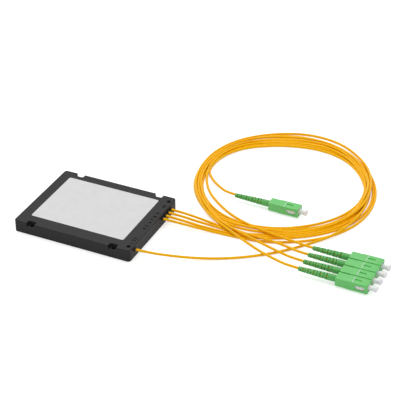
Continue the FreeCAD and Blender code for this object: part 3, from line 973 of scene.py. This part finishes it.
def ring_point(name, angle):
    """Control point of a cable at an angle round the ring, as high as it lies near there."""
    radius = ring_radius(name, angle) / math.cos(math.radians(TURN_STEP / 2))
    turn = math.radians(angle)
    offsets = (-LOOK_AROUND, 0, LOOK_AROUND)
    height = max(heights.get((name, round(angle) + offset), 0) for offset in offsets)
    return RING_MIDDLE + Vector((radius * math.cos(turn), radius * math.sin(turn), height))


def cable_points(name):
    """All control points of a cable, from inside the case to inside the connector."""
    place = PLACES[name]
    points = [Vector((x, PORTS[name], PORT_HEIGHT)) * MM for x in PORT_RUN]
    points += [Vector(point) * MM for point in ROUTES_IN[name]]
    first, last = RING_SPAN[name]
    count = round((last - first) / TURN_STEP)
    points += [ring_point(name, first + (last - first) * i / count) for i in range(count + 1)]
    points += [Vector(point) * MM for point in ROUTES_OUT[name]]
    points += [place + Vector((x, 0, 0)) for x in (BOOT_MOUTH, CABLE_END)]
    return points


def lay_cable(name):
    """One open NURBS curve with a round bevel."""
    points = cable_points(name)
    curve = bpy.data.curves.new(f"{name}_cable", "CURVE")
    curve.dimensions = "3D"
    spline = curve.splines.new("NURBS")
    spline.points.add(len(points) - 1)
    for control, point in zip(spline.points, points):
        control.co = (*point, 1)
    spline.order_u = 3
    spline.use_endpoint_u = True
    spline.resolution_u = 8
    curve.bevel_depth = BEVEL_DEPTH
    curve.bevel_resolution = 3
    curve.use_fill_caps = True
    curve.materials.append(MATERIALS["cable"])
    cable = bpy.data.objects.new(f"{name}_cable", curve)
    bpy.context.scene.collection.objects.link(cable)
    return cable


def measured_length(cable):
    """Length of the curve's own line, without its bevel."""
    cable.data.bevel_depth = 0
    bpy.context.view_layer.update()
    graph = bpy.context.evaluated_depsgraph_get()
    line = bpy.data.meshes.new_from_object(cable.evaluated_get(graph))
    length = sum(
        (line.vertices[a].co - line.vertices[b].co).length
        for a, b in (edge.vertices for edge in line.edges)
    )
    bpy.data.meshes.remove(line)
    cable.data.bevel_depth = BEVEL_DEPTH
    return length


for name in CONNECTORS:
    cable = lay_cable(name)
    length = measured_length(cable)
    print(f"{name} cable: {len(cable.data.splines[0].points)} points, {length:.3f} m")
    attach(cable, "root")
    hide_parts(f"{name}_cable_in", f"{name}_cable_out", "cable_coil")

# %% [markdown]
# ## Floor and backdrop
#
# The case and the cables lie on a white table. The floor is a real surface, so it takes the soft
# shadow. To the camera, in a gloss and through something clear, the floor and the world are as
# bright as white paper. As light on the pieces they are weaker, so the backdrop is white and the
# colours stay as they were chosen.

# %% Floor and world
FLOOR_SIZE = 6
FLOOR_GLOW = 0.5
WORLD_LIGHT = 0.5
WORLD_SEEN = 1.0


def seen_directly(tree):
    """1 for rays from the camera, a gloss or a clear piece, and 0 for rays that only light."""
    rays = add_node(tree, "ShaderNodeLightPath")
    seen = rays.outputs["Is Camera Ray"]
    for kind in ("Is Glossy Ray", "Is Transmission Ray"):
        either = add_node(
            tree, "ShaderNodeMath", {"operation": "MAXIMUM"}, {0: seen, 1: rays.outputs[kind]},
        )
        seen = either.outputs["Value"]
    return seen


deselect_all()
bpy.ops.mesh.primitive_plane_add(size=FLOOR_SIZE, location=(0, 0, 0))
floor = bpy.context.active_object
floor.name = "floor"
floor_material, floor_tree, floor_shader = new_material(
    "white_table",
    {
        "Base Color": colour("F2F2F2"), "Roughness": 0.9, "Specular IOR Level": 0.0,
        "Emission Color": (1, 1, 1, 1),
    },
)
floor_glow = add_node(
    floor_tree, "ShaderNodeMath", {"operation": "MULTIPLY", 1: FLOOR_GLOW},
    {0: seen_directly(floor_tree)},
)
floor_tree.links.new(floor_glow.outputs["Value"], floor_shader.inputs["Emission Strength"])
floor.data.materials.append(floor_material)

world = bpy.data.worlds.new("studio")
bpy.context.scene.world = world
world.use_nodes = True
world_tree = world.node_tree
world_tree.nodes.clear()
strength = add_node(
    world_tree, "ShaderNodeMapRange", {"To Min": WORLD_LIGHT, "To Max": WORLD_SEEN},
    {"Value": seen_directly(world_tree)},
)
sky = add_node(
    world_tree, "ShaderNodeBackground", {"Color": (1, 1, 1, 1)},
    {"Strength": strength.outputs["Result"]},
)
add_node(world_tree, "ShaderNodeOutputWorld", {}, {"Surface": sky.outputs["Background"]})
print("floor:", FLOOR_SIZE, "m across; world strength:", WORLD_LIGHT, "for light")

# %% [markdown]
# ## Lamps and camera
#
# A large soft lamp stands high behind the object on its left, so that the cover is evenly lit and
# the sides turned to the camera are darker. A weaker one at the front right keeps those sides
# readable. The camera looks down from the front right through a long lens, which keeps the far edge
# of the case nearly as long as the near one. Like many cameras on a tripod it isn't quite level.

# %% Lamps
LAMP_TARGET = (0.09, 0.07, 0)
LAMP_SIZE = 1.2


def soft_lamp(name, place, power):
    """Square area lamp that faces the middle of the object."""
    light = bpy.data.lights.new(name, "AREA")
    light.shape = "SQUARE"
    light.size = LAMP_SIZE
    light.energy = power
    lamp = bpy.data.objects.new(name, light)
    lamp.location = place
    direction = Vector(LAMP_TARGET) - Vector(place)
    lamp.rotation_euler = direction.to_track_quat("-Z", "Y").to_euler()
    bpy.context.scene.collection.objects.link(lamp)
    print(f"{name}: {power} W, {direction.length:.2f} m away")


soft_lamp("key_lamp", (-0.35, 0.55, 1.3), 11)
soft_lamp("fill_lamp", (0.8, -0.9, 0.9), 3.0)

# %% Camera
CAMERA_PLACE = (0.4635, -0.7926, 0.6120)
LOOKS_AT = Vector((0.0744, 0.0499, 0))
LENS = 120.8
ROLL = math.radians(0.17)

camera_data = bpy.data.cameras.new("camera")
camera_data.lens = LENS
camera_data.sensor_width = 36
camera_data.clip_start = 0.01
camera = bpy.data.objects.new("camera", camera_data)
camera.location = CAMERA_PLACE
look = LOOKS_AT - camera.location
camera.rotation_euler = (
    look.to_track_quat("-Z", "Y").to_matrix() @ Matrix.Rotation(ROLL, 3, "Z")
).to_euler()
bpy.context.scene.collection.objects.link(camera)
bpy.context.scene.camera = camera
bpy.context.scene.view_settings.view_transform = "Standard"
print(f"camera: {LENS} mm lens, {look.length:.2f} m away")

# %% Update the scene
bpy.context.view_layer.update()
